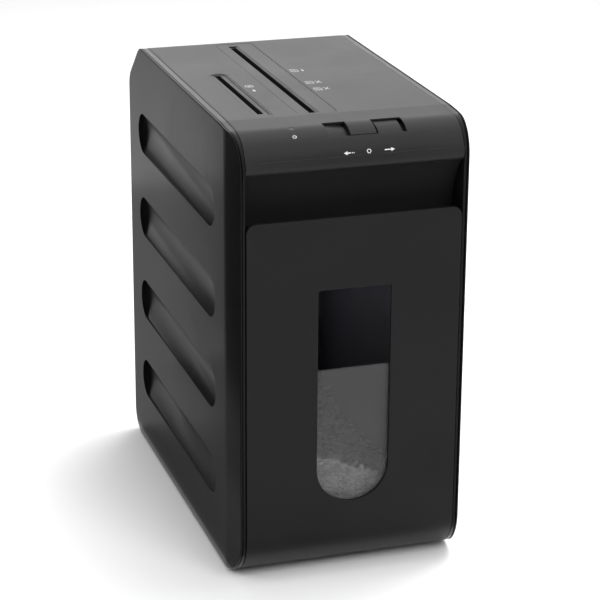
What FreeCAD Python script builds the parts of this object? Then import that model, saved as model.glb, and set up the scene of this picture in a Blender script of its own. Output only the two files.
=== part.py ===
import FreeCAD, Part
import math
import os
from FreeCAD import Vector as V

os.makedirs("parts", exist_ok=True)

# ---------------------------------------------------------------- driving dimensions (mm)
LIFT = 2.0            # rubber feet hold the panels this far off the floor
HALF_W = 95.9         # half of the overall width
FRONT_Y = -172.2
BACK_Y = 172.2
TOP_Z = 372.7         # panel height above the panels' own lower edge
R_FRONT_TOP = 28.0
R_FRONT_BOTTOM = 39.0
CHAMFER_Y, CHAMFER_Z = 133.5, 338.8   # the slanted upper rear corner runs from here to here
R_CHAMFER = 20.0
R_BACK_BOTTOM = 22.0
CREASE_Y = -121.0     # the top starts to fall towards the front here
SLOPE_DEG = 3.0
TAPER_Y = -139.0      # the side panels start to close in towards the front here
TAPER_R = 1100.0
CREASE_R = 70.0
PANEL_T = 2.2
RIM_IN = 88.8         # inner side of the side frames' rim
WEB_T = 2.2
COVER_HALF = 88.4
COVER_T = 2.6
SEAM_Z = 339.6        # head above, cabinet below

PAPER_X0, PAPER_X1 = -20.2, -14.2
PAPER_Y0, PAPER_Y1 = -113.0, 111.0
CD_X0, CD_X1 = -59.6, -54.8
CD_Y0, CD_Y1 = -107.0, 18.5

BIN_TOP = 303.6       # upper edge of the bin front
BIN_HALF = 88.0
TUB_HALF = 80.0
TUB_TOP = 284.0
WIN_X0, WIN_X1 = -29.8, 30.9
WIN_Z0, WIN_Z1 = 62.5, 245.0
PANE_TOP = 176.5

CUT_L = (-58.0, 316.0)   # axes of the two cutters, x and z
CUT_R = (-18.0, 316.0)
DISC_R = 21.3
DISC_T = 3.6
DISC_PITCH = 8.6
N_DISCS = 25
SHAFT_AF = 13.0          # hexagon across flats
CUT_M, CUT_Z = 2.0, 20
G2_Z_SMALL, G2_Z_BIG, G2_M = 12, 32, 1.25
G1_Z_SMALL, G1_Z_BIG = 12, 56
PIN_Z = 10
MOTOR = (52.0, 321.0)
G1 = (MOTOR[0] - 33.0 * math.cos(math.radians(20)), MOTOR[1] + 33.0 * math.sin(math.radians(20)))
MOTOR_R = 26.0
BACKLASH = 0.30

# switch in the curved front
SW_X0, SW_X1 = -19.5, 44.3
CAP_X0, CAP_X1 = -1.5, 19.5
t3 = math.radians(SLOPE_DEG)
YC = FRONT_Y + R_FRONT_TOP
ZC = TOP_Z - (CREASE_Y - YC) * math.tan(t3) - R_FRONT_TOP / math.cos(t3)

OUT = {}


# ---------------------------------------------------------------- helpers
def box(x0, x1, y0, y1, z0, z1):
    return Part.makeBox(x1 - x0, y1 - y0, z1 - z0, V(x0, y0, z0))


def cyl_y(x, z, r, y0, y1):
    return Part.makeCylinder(r, y1 - y0, V(x, y0, z), V(0, 1, 0))


def cyl_z(x, y, r, z0, z1):
    return Part.makeCylinder(r, z1 - z0, V(x, y, z0), V(0, 0, 1))


def cyl_x(y, z, r, x0, x1):
    return Part.makeCylinder(r, x1 - x0, V(x0, y, z), V(1, 0, 0))


def prism(pts, vec):
    return Part.Face(Part.makePolygon([V(*p) for p in pts] + [V(*pts[0])])).extrude(V(*vec))


def xz_prism(pts, y0, y1):
    return prism([(p[0], y0, p[1]) for p in pts], (0, y1 - y0, 0))


def yz_prism(pts, x0, x1):
    return prism([(x0, p[0], p[1]) for p in pts], (x1 - x0, 0, 0))


def fuse(*s):
    r = s[0]
    if len(s) > 1:
        r = s[0].multiFuse(list(s[1:]))
    return r.removeSplitter()


def cut(a, *b):
    return a.cut(list(b)) if len(b) > 1 else a.cut(b[0])


def put(name, shape):
    if isinstance(shape, (list, tuple)):
        solids = []
        for s in shape:
            solids += s.Solids
    else:
        solids = shape.Solids
    for i, s in enumerate(solids):
        if not s.isValid() or s.Volume < 0.5:
            print("WARN", name, "solid", i, s.isValid(), round(s.Volume, 2))
    solids = [s for s in solids if s.Volume > 0.5]
    c = Part.makeCompound(solids) if len(solids) > 1 else solids[0]
    c = c.copy()
    c.translate(V(0, 0, LIFT))
    c.exportStep("parts/%s.step" % name)
    OUT[name] = (len(solids), sum(s.Volume for s in solids))
    b = c.optimalBoundingBox(False, False)
    print("%-26s n=%-3d V=%9.0f  x %.1f..%.1f y %.1f..%.1f z %.1f..%.1f" % (
        name, len(solids), OUT[name][1], b.XMin, b.XMax, b.YMin, b.YMax, b.ZMin, b.ZMax))


def mirror_x(s):
    return s.mirror(V(0, 0, 0), V(1, 0, 0))


def arc(c, r, a0, a1, x):
    """Arc in the plane X = x, angles in degrees from +Y towards +Z."""
    def p(a):
        return V(x, c[0] + r * math.cos(math.radians(a)), c[1] + r * math.sin(math.radians(a)))
    return Part.Arc(p(a0), p((a0 + a1) / 2.0), p(a1)).toShape(), p(a0), p(a1)


def outline(d):
    """Corners of the side outline moved inwards by d, each with its radius."""
    run = FRONT_Y - CREASE_Y
    pts = [(FRONT_Y, 0.0, R_FRONT_BOTTOM), (BACK_Y, 0.0, R_BACK_BOTTOM), (BACK_Y, CHAMFER_Z, R_CHAMFER), (CHAMFER_Y, TOP_Z, R_CHAMFER),
           (CREASE_Y, TOP_Z, 0.0), (FRONT_Y, TOP_Z + run * math.tan(t3), R_FRONT_TOP)]
    n = len(pts)
    res = []
    for i in range(n):
        (ay, az, _), (by, bz, r), (cy, cz, _) = pts[i - 1], pts[i], pts[(i + 1) % n]
        u = V(0, by - ay, bz - az).normalize()
        w = V(0, cy - by, cz - bz).normalize()
        nu, nw = V(0, -u.z, u.y), V(0, -w.z, w.y)
        k = d / (1.0 + nu.dot(nw))
        q = V(0, by, bz) + (nu + nw) * k
        res.append((q, u, w, max(0.0, r - d) if r else 0.0))
    return res


def profile(d, x):
    """Side outline of the whole machine, moved inwards by d, in the plane X = x."""
    edges, ends = [], []
    for q, u, w, r in outline(d):
        turn = math.acos(max(-1.0, min(1.0, u.dot(w))))
        if r:
            t = r * math.tan(turn / 2.0)
            p0, p1 = q - u * t, q + w * t
            c = p0 + V(0, -u.z, u.y) * r
            m = c + (q - c).normalize() * r
            ends.append((p0, p1, m))
        else:
            ends.append((q, q, None))
    for i, (p0, p1, m) in enumerate(ends):
        if m is not None:
            edges.append(Part.Arc(V(x, p0.y, p0.z), V(x, m.y, m.z), V(x, p1.y, p1.z)).toShape())
        nx = ends[(i + 1) % len(ends)][0]
        edges.append(Part.makeLine(V(x, p1.y, p1.z), V(x, nx.y, nx.z)))
    return Part.Face(Part.Wire(edges))


def body(d, x0, x1):
    return profile(d, x0).extrude(V(x1 - x0, 0, 0))


def plan(d, zlo=-6.0, zhi=385.0):
    """Everything between the left side's plan curve, moved inwards by d, and x = 0."""
    cx = -HALF_W + TAPER_R * math.cos(math.radians(4))
    cy = TAPER_Y + TAPER_R * math.sin(math.radians(4))
    r = TAPER_R - d
    # the crease is rounded by a small arc that touches the flat side and the taper
    qx = -HALF_W + CREASE_R
    qy = cy - math.sqrt((TAPER_R - CREASE_R) ** 2 - (cx - qx) ** 2)
    dx, dy = qx - cx, qy - cy
    ln = math.hypot(dx, dy)
    ta = math.degrees(math.atan2(-dy, -dx))

    def p(a):
        return V(cx - r * math.cos(math.radians(a)), cy - r * math.sin(math.radians(a)), zlo)

    def k(a):
        return V(qx - (CREASE_R - d) * math.cos(math.radians(a)), qy - (CREASE_R - d) * math.sin(math.radians(a)), zlo)
    end = 6.1
    a1 = Part.Arc(k(0), k(ta / 2.0), k(ta)).toShape()
    a2 = Part.Arc(p(ta), p((ta + end) / 2.0), p(end)).toShape()
    q = [V(-HALF_W + d, 190, zlo), V(0, 190, zlo), V(0, p(end).y, zlo)]
    w = Part.Wire([a1, a2, Part.makeLine(p(end), q[2]), Part.makeLine(q[2], q[1]), Part.makeLine(q[1], q[0]), Part.makeLine(q[0], k(0))])
    return Part.Face(w).extrude(V(0, 0, zhi - zlo))


def obround_yz(y0, y1, z0, z1, x0, x1):
    r = (z1 - z0) / 2.0
    zc = (z0 + z1) / 2.0
    return fuse(box(x0, x1, y0 + r, y1 - r, z0, z1), cyl_x(y0 + r, zc, r, x0, x1), cyl_x(y1 - r, zc, r, x0, x1))


def obround_xy(x0, x1, y0, y1, z0, z1, r=None):
    r = r or (x1 - x0) / 2.0
    b = box(x0, x1, y0, y1, z0, z1)
    es = [e for e in b.Edges if abs(e.BoundBox.ZLength - (z1 - z0)) < 1e-6 and e.BoundBox.XLength < 1e-6]
    return b.makeFillet(min(r, (x1 - x0) / 2.0 - 0.01, (y1 - y0) / 2.0 - 0.01), es)


def band(y_top, a_end, d1, d2, x0, x1):
    """Strip that follows the curved front from y_top on the slope to the angle a_end (deg above the horizontal),
    between the depths d1 and d2 under the surface."""
    def pts(d):
        r = R_FRONT_TOP - d
        t = V(x0, YC + r * math.cos(math.radians(93)), ZC + r * math.sin(math.radians(93)))
        s = V(x0, y_top, t.z + (y_top - t.y) * math.tan(t3))
        a, p0, p1 = arc((YC, ZC), r, 93, 180 - a_end, x0)
        return s, t, a, p0, p1
    s1, tt1, ar1, _, e1 = pts(d1)
    s2, tt2, ar2, _, e2 = pts(d2)
    w = Part.Wire([Part.makeLine(s1, tt1), ar1, Part.makeLine(e1, e2), ar2, Part.makeLine(tt2, s2), Part.makeLine(s2, s1)])
    return Part.Face(w).extrude(V(x1 - x0, 0, 0))


# ---------------------------------------------------------------- side panels
POCKETS = [(48.7, 83.7), (125.0, 161.0), (203.0, 239.0), (280.0, 315.5)]
PY0, PY1 = -110.0, 139.0


def pocket(z0, z1, grow, x_far):
    """Shallow scoop with a curved floor that gets deeper towards the rear."""
    zc = (z0 + z1) / 2.0
    rr = 45.0 + grow
    c0 = V(-HALF_W - 41.3, PY0 - 30, zc)
    c1 = V(-HALF_W - 39.6, PY1 + 30, zc)
    scoop = Part.makeCylinder(rr, (c1 - c0).Length, c0, c1 - c0)
    return obround_yz(PY0 - grow, PY1 + grow, z0 - grow, z1 + grow, -HALF_W - 3, x_far).common(scoop)


full_l = body(0.0, -HALF_W, -84.0)
skin = full_l.common(plan(0)).cut(plan(1.3))
backing = body(3.2, -HALF_W + 0.6, -84.0).common(plan(0.6)).cut(plan(PANEL_T))
bulges = [pocket(a, b, 2.0, -84.5).common(plan(0.6)) for a, b in POCKETS]
panel = skin.multiFuse([backing] + bulges).cut([pocket(a, b, 0.0, -84.5) for a, b in POCKETS]).removeSplitter()
print("panel", panel.isValid(), len(panel.Solids))
edge = [e for e in panel.Edges if e.Length > 20 and all(
    abs(v.X + HALF_W) < 0.02 for v in e.Vertexes) and (e.BoundBox.ZMax > TOP_Z - 0.5 or e.BoundBox.YMax > BACK_Y - 0.5)
    and e.BoundBox.XLength < 0.05]
try:
    p2 = panel.makeFillet(1.0, edge)
    if p2.isValid() and abs(p2.Volume - panel.Volume) < 900:
        panel = p2
        print("panel edge rounded", len(edge))
except Exception as ex:
    print("panel edge left sharp", ex)
put("left_side_panel", panel)
put("right_side_panel", mirror_x(panel))

# ---------------------------------------------------------------- side frames: web with a rim all round
rim = body(0.15, -HALF_W, -RIM_IN).common(plan(2.3)).cut(body(3.0, -HALF_W - 1, -RIM_IN + 1))
web = body(1.0, -RIM_IN - WEB_T, -RIM_IN).common(plan(2.4))
frame_l = fuse(rim, web)
cuts = [obround_yz(PY0 - 3, PY1 + 3, a - 3, b + 3, -HALF_W - 1, -84) for a, b in POCKETS]
cuts.append(box(-97, -84, -180, FRONT_Y + 0.9, -5, SEAM_Z))          # the cabinet's rim stands 0.9 mm back
frame_l = cut(frame_l, *cuts)
put("left_side_frame", frame_l)
put("right_side_frame", mirror_x(frame_l))

# ---------------------------------------------------------------- top cover
outer = body(0.0, -COVER_HALF, COVER_HALF)
inner = body(COVER_T, -COVER_HALF + 2.0, COVER_HALF - 2.0)
cover = outer.cut(inner)
cover = cover.common(box(-90, 90, -180, 180, 340.4, 380))
lip_bar = yz_prism([(FRONT_Y, 340.4), (FRONT_Y, 352.0), (-169.0, 352.0), (-163.6, 345.0), (-163.6, 340.4)], -COVER_HALF, COVER_HALF)
roll = box(-90, 90, -175.0, FRONT_Y + 6.5, 339.0, 346.9).cut(cyl_x(FRONT_Y + 6.5, 346.9, 6.5, -95, 95))
cover = cover.fuse(lip_bar).cut(roll)
# seats for the two slot inserts
BAND_X0, BAND_X1, BAND_Y0, BAND_Y1 = -30.1, 2.6, -119.0, 122.0
cover = cover.cut(obround_xy(BAND_X0, BAND_X1, BAND_Y0, BAND_Y1, 367, 380, 5.0))
BEZ = (-63.9, -49.1, -118.0, 23.5)
cover = cover.cut(obround_xy(BEZ[0], BEZ[1], BEZ[2], BEZ[3], 367, 380))
# switch: wall thinned from inside, then the window
cover = cover.cut([band(-138.0, 34.0, 1.3, 3.2, -60, 84), band(-143.6, 51.0, -2, 4, SW_X0, SW_X1)])
# lamp hole, square to the curve
LED_A = math.radians(101.5)
LED = V(-45.4, YC + R_FRONT_TOP * math.cos(LED_A), ZC + R_FRONT_TOP * math.sin(LED_A))
LED_N = V(0, math.cos(LED_A), math.sin(LED_A))
cover = cover.cut(Part.makeCylinder(2.3, 8, LED - LED_N * 5, LED_N))
put("top_cover", cover)
put("led_lens", Part.makeCylinder(2.2, 1.0, LED - LED_N * 1.2, LED_N))

# ---------------------------------------------------------------- slot inserts
plate = obround_xy(BAND_X0 + 0.35, BAND_X1 - 0.35, BAND_Y0 + 0.35, BAND_Y1 - 0.35, TOP_Z - 4.2, TOP_Z - 0.1, 4.6)
plate = plate.common(body(0.1, -40, 10))
plate = plate.cut([box(PAPER_X0, PAPER_X1, PAPER_Y0, PAPER_Y1, 360, 380),
                   prism([(PAPER_X1 - 0.1, PAPER_Y0 - 3.0, TOP_Z + 0.3), (PAPER_X1 + 4.0, PAPER_Y0 - 3.0, TOP_Z + 0.3),
                          (PAPER_X1 - 0.1, PAPER_Y0 - 3.0, TOP_Z - 1.0)], (0, PAPER_Y1 - PAPER_Y0 + 5.6, 0)),
                   box(PAPER_X0, PAPER_X1, PAPER_Y0 - 3.0, PAPER_Y1 + 2.6, TOP_Z - 1.2, 380)])
put("paper_slot_plate", plate)
bez = obround_xy(BEZ[0] + 0.3, BEZ[1] - 0.3, BEZ[2] + 0.3, BEZ[3] - 0.3, TOP_Z - 4.2, TOP_Z - 0.1)
bez = bez.cut([obround_xy(BEZ[0] + 1.7, BEZ[1] - 1.7, BEZ[2] + 1.7, BEZ[3] - 1.7, TOP_Z - 0.6, 380),
               box(CD_X0, CD_X1, CD_Y0, CD_Y1, 360, 380)])
put("cd_slot_bezel", bez)

# ---------------------------------------------------------------- Y-shaped feed throat under the slots
blk = xz_prism([(-70.5, 368.2), (-3.5, 368.2), (-3.5, 362), (-22.5, 339.4), (-53.5, 339.4), (-70.5, 362)], -115.5, 115.5)
pap = xz_prism([(-22.0, 369), (-11.0, 369), (-27.0, 338), (-36.5, 338)], PAPER_Y0, PAPER_Y1)
cdp = xz_prism([(-62.5, 369), (-52.0, 369), (-39.6, 338), (-49.0, 338)], CD_Y0 - 1.5, CD_Y1 + 1.5)
sens = box(-27.2, -1.0, 18.0, 24.0, 338, 366)
blk = blk.cut([pap, cdp, sens])
put("feed_throat", blk)

# ---------------------------------------------------------------- grip recess and rear cover
def recess(p0, p1, p2, p3, p4, p5, xa, xb):
    q = [V(xa, p[0], p[1]) for p in (p0, p1, p2, p3, p4, p5)]
    w = Part.Wire([Part.Arc(q[0], q[1], q[2]).toShape(), Part.makeLine(q[2], q[3]), Part.Arc(q[3], q[4], q[5]).toShape(),
                   Part.makeLine(q[5], q[0])])
    return Part.Face(w).extrude(V(xb - xa, 0, 0))


grip = recess((-166.4, 340.2), (-153.6, 321.0), (-149.2, 290.6), (-146.6, 290.6), (-150.6, 321.6), (-163.0, 340.2), -88.6, 88.6)
put("grip_recess_panel", grip)

rear = body(0.0, -COVER_HALF, COVER_HALF).cut(body(2.6, -COVER_HALF + 2.2, COVER_HALF - 2.2))
rear = rear.common(box(-90, 90, 145.5, 180, 4.6, 340.0))
vents = []
for i in range(7):
    z = 296.0 + 4.6 * i - 14
    for sx in (-1, 1):
        vents.append(box(sx * 40 - 24, sx * 40 + 24, 165, 180, z, z + 2.2))
REAR_SCREWS = [(-74, 60), (74, 84), (-74, 262), (74, 232)]
rear = rear.cut(vents + [cyl_y(60.0, 60.0, 6.2, 160, 180)] + [cyl_y(x, z, 3.4, 170.9, 180) for x, z in REAR_SCREWS]
                + [cyl_y(x, z, 1.6, 160, 180) for x, z in REAR_SCREWS])
put("rear_cover", rear)
g = cyl_y(60.0, 60.0, 6.0, 165.6, 171.9).fuse(cyl_y(60.0, 60.0, 9.0, 163.6, 169.5)).cut(cyl_y(60, 60, 3.6, 160, 180))
put("cable_gland", g.removeSplitter())

# ---------------------------------------------------------------- base, feet, rails
base = box(-88.7, 88.7, -130.0, 145.2, 0.8, 3.4)
base = base.fuse([box(-88.7, -86.2, -130, 145.2, 3.4, 14), box(86.2, 88.7, -130, 145.2, 3.4, 14)])
base = base.cut([cyl_z(x, y, 1.7, -2, 6) for x in (-70, 70) for y in (-112, 132)]).removeSplitter()
put("base_plate", base)
put("rubber_feet", [cyl_z(x, y, 9.0, -LIFT, 0.7) for x in (-70, 70) for y in (-112, 132)])
put("foot_screws", [fuse(cyl_z(x, y, 1.6, 0.8, 3.5), cyl_z(x, y, 3.2, 3.4, 3.7)) for x in (-70, 70) for y in (-112, 132)])
rails = []
for s in (-1, 1):
    rails.append(fuse(box(min(s * 82.0, s * 88.7), max(s * 82.0, s * 88.7), -140, 145.2, 255, 257.5),
                      box(min(s * 86.6, s * 88.7), max(s * 86.6, s * 88.7), -140, 145.2, 257.5, 264)))
put("bin_rails", rails)

# ---------------------------------------------------------------- head chassis and cutter plates
ch = box(-86.3, 86.3, -146.2, 164.0, 288.0, 290.4)
ch = ch.cut([box(-81, 5, -113, 113, 280, 300), box(58, 80, 149.0, 164.5, 280, 300)])
ch = ch.fuse([box(min(s * xa, s * xb), max(s * xa, s * xb), ya, yb, 288.0, 300.0)
              for s in (-1, 1) for xa, xb, ya, yb in ((85.2, 88.7, -145.0, -118.0), (84.0, 86.0, 146.5, 164.0))])
ch = ch.cut([box(s * 87.1 - 0.95, s * 87.1 + 0.95, 145.4, 170, 280, 292) for s in (-1, 1)])
ch = ch.removeSplitter()
put("head_chassis", ch)

PLY_F = (-119.6, -116.2)
PLY_R = (116.2, 119.6)


def cutter_plate(y0, y1, motor):
    p = box(-84.5, 6.0, y0, y1, 290.4, 362.0)
    if motor:
        p = fuse(box(-84.5, 84.5, y0, y1, 290.4, 362.0))
        p = p.cut([cyl_y(MOTOR[0], MOTOR[1], 6.0, y0 - 1, y1 + 1)] +
                  [cyl_y(MOTOR[0] + dx, MOTOR[1], 1.7, y0 - 1, y1 + 1) for dx in (-16, 16)])
        p = p.cut([cyl_y(G1[0], G1[1], 3.0, y0 - 1, y1 + 1), cyl_y(G2[0], G2[1], 4.0, y0 - 1, y1 + 1)])
    p = p.cut([cyl_y(c[0], c[1], 10.0, y0 - 1, y1 + 1) for c in (CUT_L, CUT_R)])
    p = p.cut([cyl_y(x, z, 3.0, y0 - 1, y1 + 1) for x, z in RODS])
    return p


RODS = [(-79.4, 345.0), (2.6, 352.5), (-79.4, 295.8), (1.6, 295.8)]
# second gear pair's axis: 32 mm from the right cutter, 27.5 mm from the first gear pair
dR = math.hypot(G1[0] - CUT_R[0], G1[1] - CUT_R[1])
C2, C1 = 32.0, (G1_Z_SMALL + G2_Z_BIG) * G2_M / 2.0
tA = math.acos((dR * dR + C2 * C2 - C1 * C1) / (2 * dR * C2))
t0 = math.atan2(G1[1] - CUT_R[1], G1[0] - CUT_R[0]) + tA
G2 = (CUT_R[0] + C2 * math.cos(t0), CUT_R[1] + C2 * math.sin(t0))
print("G1", G1, "G2", G2, "dist G1-G2", math.hypot(G1[0] - G2[0], G1[1] - G2[1]))

put("front_cutter_plate", cutter_plate(PLY_F[0], PLY_F[1], False))
put("rear_cutter_plate", cutter_plate(PLY_R[0], PLY_R[1], True))
nuts = []
for x, z in RODS:
    hexf = Part.Face(Part.makePolygon([V(x + 5.2 * math.cos(math.radians(60 * k)), 0, z + 5.2 * math.sin(math.radians(60 * k)))
                                       for k in range(7)]))
    nuts.append(hexf.extrude(V(0, 3.0, 0)).translated(V(0, PLY_F[0] - 3.0, 0)).cut(cyl_y(x, z, 2.95, -130, -110)))
put("tie_rods_and_nuts", [cyl_y(x, z, 2.95, -124.0, 120.4) for x, z in RODS] + nuts)
bush = []
for c in (CUT_L, CUT_R):
    for (y0, y1) in (PLY_F, PLY_R):
        bush.append(cyl_y(c[0], c[1], 10.0, y0, y1).cut(cyl_y(c[0], c[1], 7.05, y0 - 1, y1 + 1)))
put("cutter_bushes", bush)

# ---------------------------------------------------------------- cutters
HEX_R = SHAFT_AF / math.sqrt(3.0)


def hexprism(c, y0, y1, r):
    f = Part.Face(Part.makePolygon([V(c[0] + r * math.cos(math.radians(30 + 60 * k)), y0, c[1] + r * math.sin(math.radians(30 + 60 * k)))
                                    for k in range(7)]))
    return f.extrude(V(0, y1 - y0, 0))


def disc(c, y0, phase, hand):
    pts = []
    n = 10
    for k in range(n):
        a = hand * 2 * math.pi * k / n + phase
        pts.append((c[0] + DISC_R * math.cos(a), c[1] + DISC_R * math.sin(a)))
        b = a + hand * 0.10
        pts.append((c[0] + (DISC_R - 3.0) * math.cos(b), c[1] + (DISC_R - 3.0) * math.sin(b)))
        b = a + hand * 0.36
        pts.append((c[0] + (DISC_R - 1.1) * math.cos(b), c[1] + (DISC_R - 1.1) * math.sin(b)))
    return xz_prism(pts, y0, y0 + DISC_T).cut(hexprism(c, y0 - 1, y0 + DISC_T + 1, HEX_R))


def cutter(name, c, shift, hand, y_end):
    y0 = -N_DISCS * DISC_PITCH / 2.0 + shift
    discs, spac = [], []
    for k in range(N_DISCS):
        ya = y0 + k * DISC_PITCH
        discs.append(disc(c, ya, k * 0.157, hand))
        if k < N_DISCS - 1:
            spac.append(cyl_y(c[0], c[1], 12.0, ya + DISC_T, ya + DISC_PITCH).cut(
                hexprism(c, ya + DISC_T - 0.5, ya + DISC_PITCH + 0.5, HEX_R)))
    put(name + "_cutter_discs", discs)
    put(name + "_cutter_spacers", spac)
    sh = fuse(hexprism(c, -114.6, 114.6, HEX_R), cyl_y(c[0], c[1], 7.0, -123.0, -114.6), cyl_y(c[0], c[1], 7.0, 114.6, y_end))
    put(name + "_cutter_shaft", sh)


cutter("left", CUT_L, 0.35, -1, 130.4)
cutter("right", CUT_R, 0.35 + DISC_PITCH / 2.0, 1, 130.4)

# scraper combs: fingers reach between the discs from the outer sides
for name, c, sgn, shift in (("left", CUT_L, -1, 0.35), ("right", CUT_R, 1, 0.35 + DISC_PITCH / 2.0)):
    y0 = -N_DISCS * DISC_PITCH / 2.0 + shift
    fl = []
    xa, xb = c[0] + sgn * 13.0, c[0] + sgn * 22.6
    for k in range(N_DISCS - 1):
        ya = y0 + k * DISC_PITCH + DISC_T + 0.8
        fl.append(box(min(xa, xb), max(xa, xb), ya, ya + DISC_PITCH - DISC_T - 1.6, 300.6, 305.4))
    bar = box(min(c[0] + sgn * 22.2, c[0] + sgn * 24.2), max(c[0] + sgn * 22.2, c[0] + sgn * 24.2), -116.0, 116.0, 300.2, 306.0)
    put(name + "_scraper_comb", fuse(bar, *fl))


# ---------------------------------------------------------------- gears
def gear(c, m, z, y0, y1, rot, bore):
    """Spur gear, teeth from straight and involute points, one tooth centred at the angle rot (rad, +X towards +Z)."""
    rp = m * z / 2.0
    ra = rp + 0.95 * m
    rf = rp - 1.2 * m
    rb = rp * math.cos(math.radians(20))
    inv = math.tan(math.radians(20)) - math.radians(20)
    half = (math.pi / 2.0 - BACKLASH / m / 1.0 * 0.5) / z
    pts = []
    for k in range(z):
        a = rot + 2 * math.pi * k / z
        side = []
        for i in range(4):
            r = max(rb, rf + 0.02) + (ra - max(rb, rf + 0.02)) * i / 3.0
            al = math.acos(min(1.0, rb / r))
            th = half + inv - (math.tan(al) - al)
            side.append((r, th))
        low = [(rf, side[0][1] + 0.0)]
        for r, th in low + side:
            pts.append((r, a - th))
        for r, th in reversed(low + side):
            pts.append((r, a + th))
    xz = [(c[0] + r * math.cos(t), c[1] + r * math.sin(t)) for r, t in pts]
    g = xz_prism(xz, y0, y1)
    return g.cut(cyl_y(c[0], c[1], bore, y0 - 1, y1 + 1)) if bore else g


def mesh_rot(c1, m, z1, rot1, c2, z2):
    """Turn of gear 2 that puts one of its gaps where gear 1 has a tooth, on the line between the axes."""
    al = math.atan2(c2[1] - c1[1], c2[0] - c1[0])
    u1 = ((al - rot1) / (2 * math.pi / z1)) % 1.0
    return al + math.pi - (0.5 - u1) * 2 * math.pi / z2


rot_r = 0.0
rot_l = mesh_rot(CUT_R, CUT_M, CUT_Z, rot_r, CUT_L, CUT_Z)
rot_2s = mesh_rot(CUT_R, CUT_M, CUT_Z, rot_r, G2, G2_Z_SMALL)
rot_1s = mesh_rot(G2, G2_M, G2_Z_BIG, 0.2, G1, G1_Z_SMALL)
rot_p = mesh_rot(G1, 1.0, G1_Z_BIG, 0.1, MOTOR, PIN_Z)
put("right_cutter_gear", gear(CUT_R, CUT_M, CUT_Z, 121.0, 129.4, rot_r, 7.0))
put("left_cutter_gear", gear(CUT_L, CUT_M, CUT_Z, 121.0, 129.4, rot_l, 7.0))
put("second_reduction_gear", fuse(gear(G2, CUT_M, G2_Z_SMALL, 120.6, 130.4, rot_2s, 4.05),
                                  gear(G2, G2_M, G2_Z_BIG, 130.4, 135.0, 0.2, 4.05)))
put("first_reduction_gear", fuse(gear(G1, G2_M, G1_Z_SMALL, 130.0, 136.0, rot_1s, 3.05),
                                 gear(G1, 1.0, G1_Z_BIG, 136.0, 141.0, 0.1, 3.05)))
put("motor_pinion", gear(MOTOR, 1.0, PIN_Z, 135.6, 141.4, rot_p, 2.5))
put("motor_shaft", cyl_y(MOTOR[0], MOTOR[1], 2.5, 22.0, 142.4))
put("gear_pins", [cyl_y(G2[0], G2[1], 4.0, 116.2, 135.6), cyl_y(G1[0], G1[1], 3.0, 116.2, 145.6),
                  cyl_y(G1[0], G1[1], 4.6, 119.6, 129.6).cut(cyl_y(G1[0], G1[1], 3.0, 110, 140))])
gp = box(-30, 84.5, 143.4, 145.6, 296.0, 360.0).cut([cyl_y(G1[0], G1[1], 3.0, 142, 148)]).common(body(3.3, -40, 90))
POSTS = [(79.5, 300.5), (79.5, 356.5), (-26.0, 357.0), (56.0, 299.5)]
put("gearbox_plate", gp)
put("gearbox_posts", [cyl_y(x, z, 3.0, 119.6, 143.4) for x, z in POSTS])

# ---------------------------------------------------------------- motor
mot = cyl_y(MOTOR[0], MOTOR[1], MOTOR_R, 32.0, 111.0)
mot = mot.fuse([cyl_y(MOTOR[0], MOTOR[1], 9.0, 111.0, 116.2)] + [cyl_y(MOTOR[0] + dx, MOTOR[1], 4.0, 111.0, 116.2) for dx in (-16, 16)])
mot = mot.cut([cyl_y(MOTOR[0] + dx, MOTOR[1], 1.6, 109.0, 118.0) for dx in (-16, 16)]).cut(cyl_y(MOTOR[0], MOTOR[1], 2.55, 30.0, 120.0))
mot = mot.cut(cyl_y(MOTOR[0], MOTOR[1], 20.0, 36.0, 107.0)).removeSplitter()
put("motor_can", mot)
put("motor_end_cap", cyl_y(MOTOR[0], MOTOR[1], 25.0, 24.0, 32.0).cut(cyl_y(MOTOR[0], MOTOR[1], 2.55, 20, 40)))
put("motor_rotor", cyl_y(MOTOR[0], MOTOR[1], 18.4, 44.0, 100.0).cut(cyl_y(MOTOR[0], MOTOR[1], 2.5, 40, 104)))

# ---------------------------------------------------------------- electrics
put("control_board", box(16.0, 82.0, -112.0, -40.0, 300.0, 301.6))
put("board_supports", [cyl_z(x, y, 3.0, 290.4, 300.0) for x in (20, 78) for y in (-108, -44)])
put("board_components", [cyl_z(30, -60, 8.0, 301.6, 322.0), box(44, 62, -70, -52, 301.6, 317.0), box(66, 78, -74, -50, 301.6, 310.0),
                         box(24, 40, -104, -88, 301.6, 308), box(50, 76, -106, -94, 301.6, 312.0)])
put("mode_switch_body", box(-14.0, 32.0, -141.0, -129.0, 344.0, 353.0))
put("mode_switch_bracket", fuse(box(-16.0, 34.0, -129.0, -127.4, 342.4, 369.5), box(-16.0, 34.0, -141.0, -129.0, 342.4, 344.0)))

# interlock behind the bin
ilk = box(60.0, 78.0, 151.4, 163.6, 262.0, 280.0).cut(cyl_y(69.0, 271.0, 2.3, 148, 160.2))
put("interlock_switch", ilk)
put("interlock_bracket", fuse(box(60.0, 78.0, 151.4, 163.6, 280.0, 282.0), box(60.0, 78.0, 163.6, 165.4, 262.0, 288.0)).cut(
    box(59, 79, 165.2, 170, 200, 300)))
put("interlock_plunger", cyl_y(69.0, 271.0, 2.2, 146.4, 156.6))

# ---------------------------------------------------------------- screws
put("rear_cover_screws", [fuse(cyl_y(x, z, 3.3, 170.9, 172.1), cyl_y(x, z, 1.6, 163.0, 171.0)).cut(
    box(x - 2.3, x + 2.3, 171.5, 173, z - 0.45, z + 0.45)) for x, z in REAR_SCREWS])
put("motor_screws", [fuse(cyl_y(MOTOR[0] + dx, MOTOR[1], 1.6, 112.0, 119.6), cyl_y(MOTOR[0] + dx, MOTOR[1], 3.1, 119.6, 121.0)) for dx in (-16, 16)])

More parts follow.
